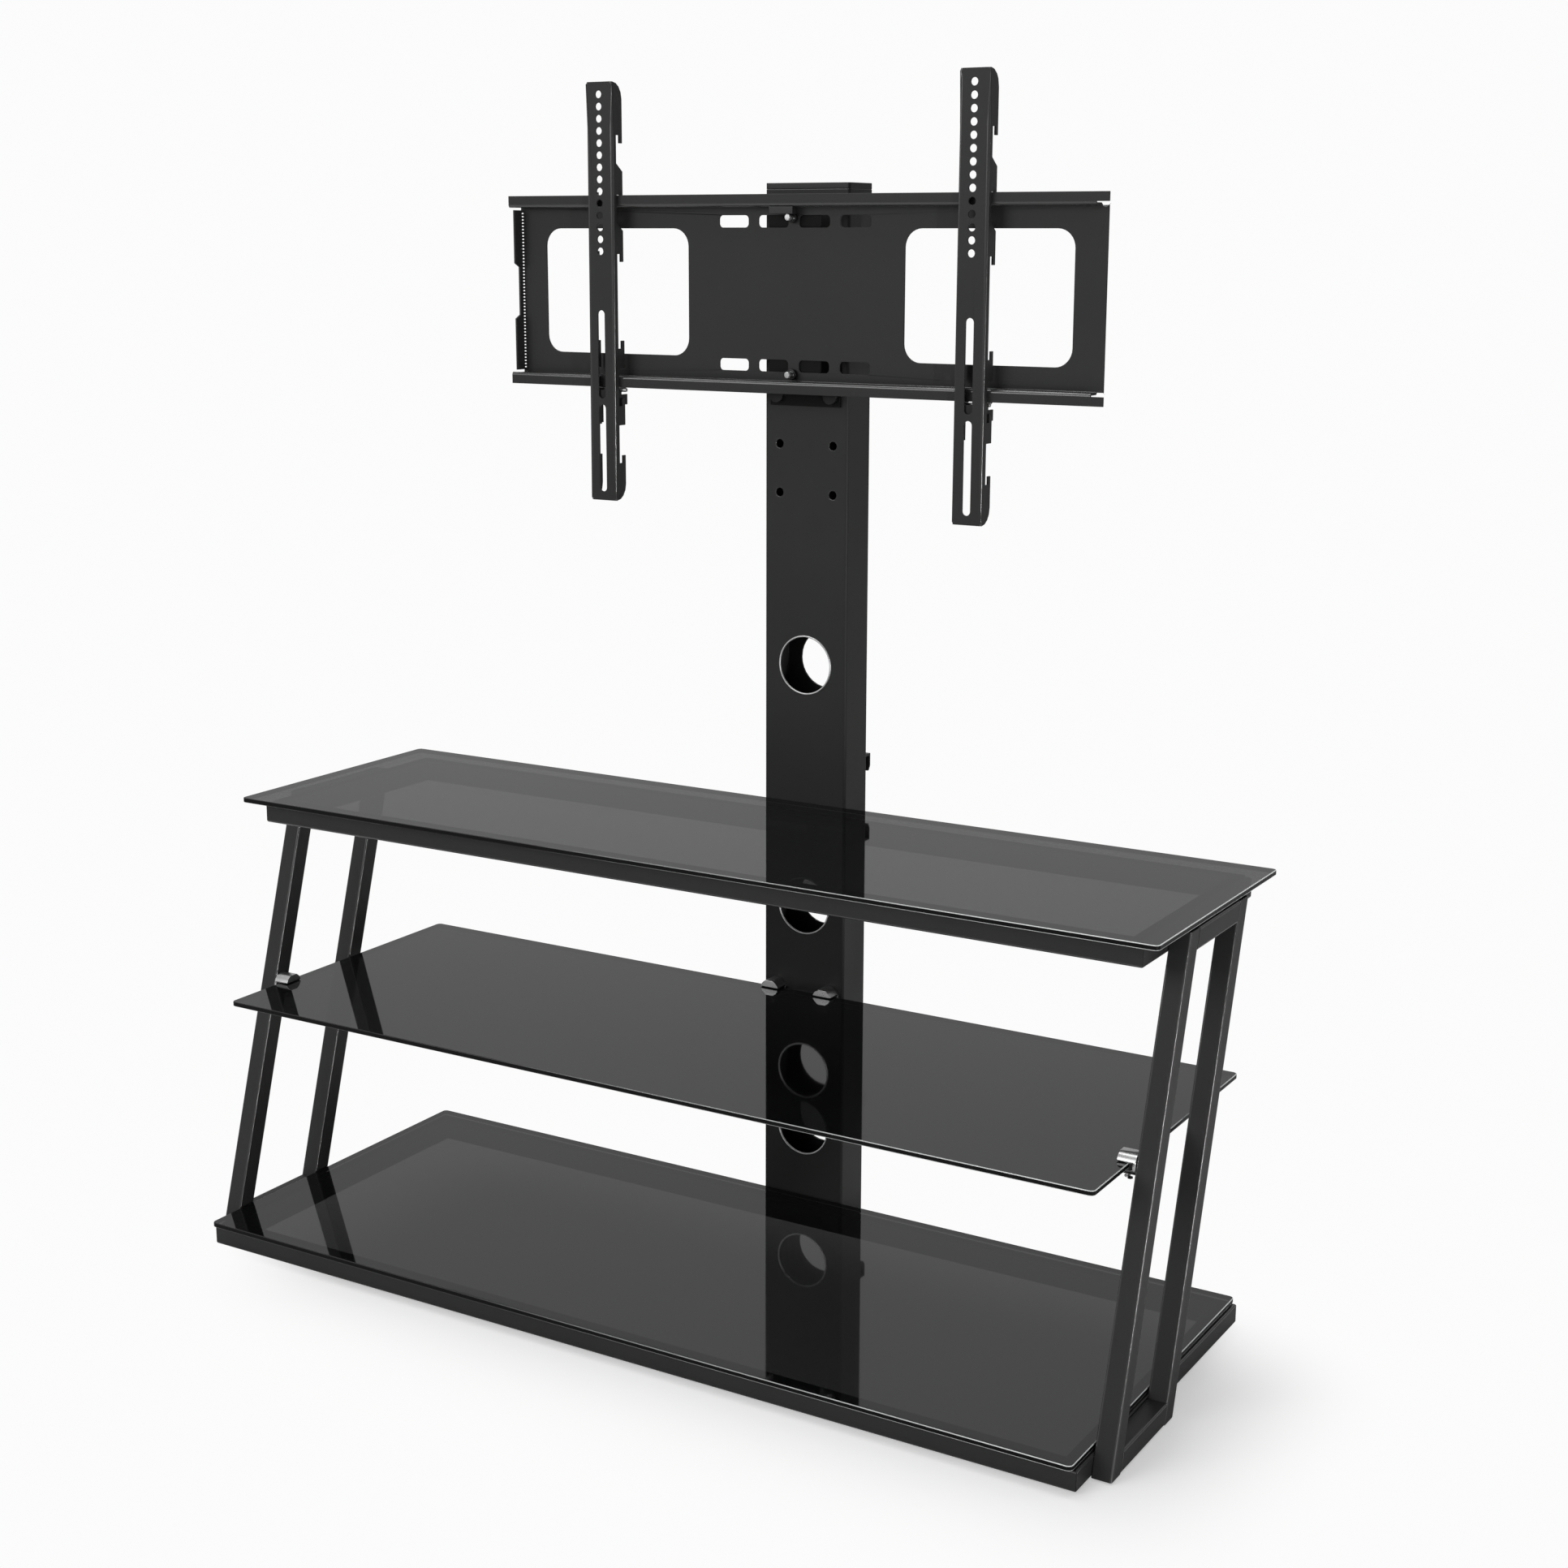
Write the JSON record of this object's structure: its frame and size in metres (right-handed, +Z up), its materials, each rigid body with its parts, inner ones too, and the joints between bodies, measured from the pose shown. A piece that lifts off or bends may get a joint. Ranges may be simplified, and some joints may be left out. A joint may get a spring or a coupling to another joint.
{
  "type": "tv stand with mount",
  "caption": "Television stand with three dark glass shelves on leaning steel tube frames, a rear column with cable holes, and a swivelling wall-plate mount with hooked screen brackets.",
  "frame": {"origin": "on the floor, at the middle of the footprint's width and depth", "axes": "+Z up, -Y towards the viewer of the screen, +X to the right when facing the stand"},
  "size_m": [1.044, 0.4548, 1.2099],
  "materials": {
    "black_steel": "fine black powder coat",
    "dark_hardware": "black oxide",
    "black_glass": "polished black tempered glass",
    "zinc": "zinc plated",
    "black_plastic": "satin black plastic",
    "rubber": "matte black rubber"
  },
  "bodies": {
    "stand": {"left_front_floor_pad": "rubber", "left_rear_floor_pad": "rubber", "right_front_floor_pad": "rubber", "right_rear_floor_pad": "rubber", "base_front_rail": "black_steel", "base_rear_rail": "black_steel", "base_left_rail": "black_steel", "base_right_rail": "black_steel", "top_front_rail": "black_steel", "top_rear_rail": "black_steel", "top_left_rail": "black_steel", "top_right_rail": "black_steel", "left_front_leg": "black_steel", "left_rear_leg": "black_steel", "left_bottom_bar": "black_steel", "left_top_bar": "black_steel", "right_front_leg": "black_steel", "right_rear_leg": "black_steel", "right_bottom_bar": "black_steel", "right_top_bar": "black_steel", "base_glass_pad": "rubber", "top_glass_pad": "rubber", "base_glass": "black_glass", "middle_glass": "black_glass", "top_glass": "black_glass", "column": "black_steel", "column_cap": "black_plastic", "lower_cable_clip": "black_plastic", "upper_cable_clip": "black_plastic", "column_spacer": "black_steel", "base_left_column_bolt": "dark_hardware", "base_right_column_bolt": "dark_hardware", "top_left_column_bolt": "dark_hardware", "top_right_column_bolt": "dark_hardware", "left_leg_clamp": "zinc", "right_leg_clamp": "zinc", "column_left_clamp": "zinc", "column_right_clamp": "zinc", "left_leg_clamp_liner": "rubber", "right_leg_clamp_liner": "rubber", "column_left_clamp_liner": "rubber", "column_right_clamp_liner": "rubber", "mount_base": "black_steel", "lower_left_mount_bolt": "dark_hardware", "lower_right_mount_bolt": "dark_hardware", "upper_left_mount_bolt": "dark_hardware", "upper_right_mount_bolt": "dark_hardware", "swivel_pin": "dark_hardware"},
    "mount_head": {"swivel_head": "black_steel", "lower_centre_bolt": "zinc", "upper_centre_bolt": "zinc", "wall_plate": "black_steel", "level_block": "black_plastic"},
    "left_screen_bracket": {"left_bracket": "black_steel", "left_lock": "dark_hardware", "left_lock_bar": "zinc"},
    "right_screen_bracket": {"right_bracket": "black_steel", "right_lock": "dark_hardware", "right_lock_bar": "zinc"}
  },
  "joints": [
    {"name": "mount_swivel", "type": "hinge", "parent": "stand", "child": "mount_head", "pos_m": [0, 0.15545, 1], "axis": [0, 0, 1], "range_deg": [-20, 20]},
    {"name": "left_bracket_slide", "type": "slide", "parent": "mount_head", "child": "left_screen_bracket", "axis": [1, 0, 0], "range_m": [-0.095, 0.165]},
    {"name": "right_bracket_slide", "type": "slide", "parent": "mount_head", "child": "right_screen_bracket", "axis": [1, 0, 0], "range_m": [-0.165, 0.105]}
  ]
}
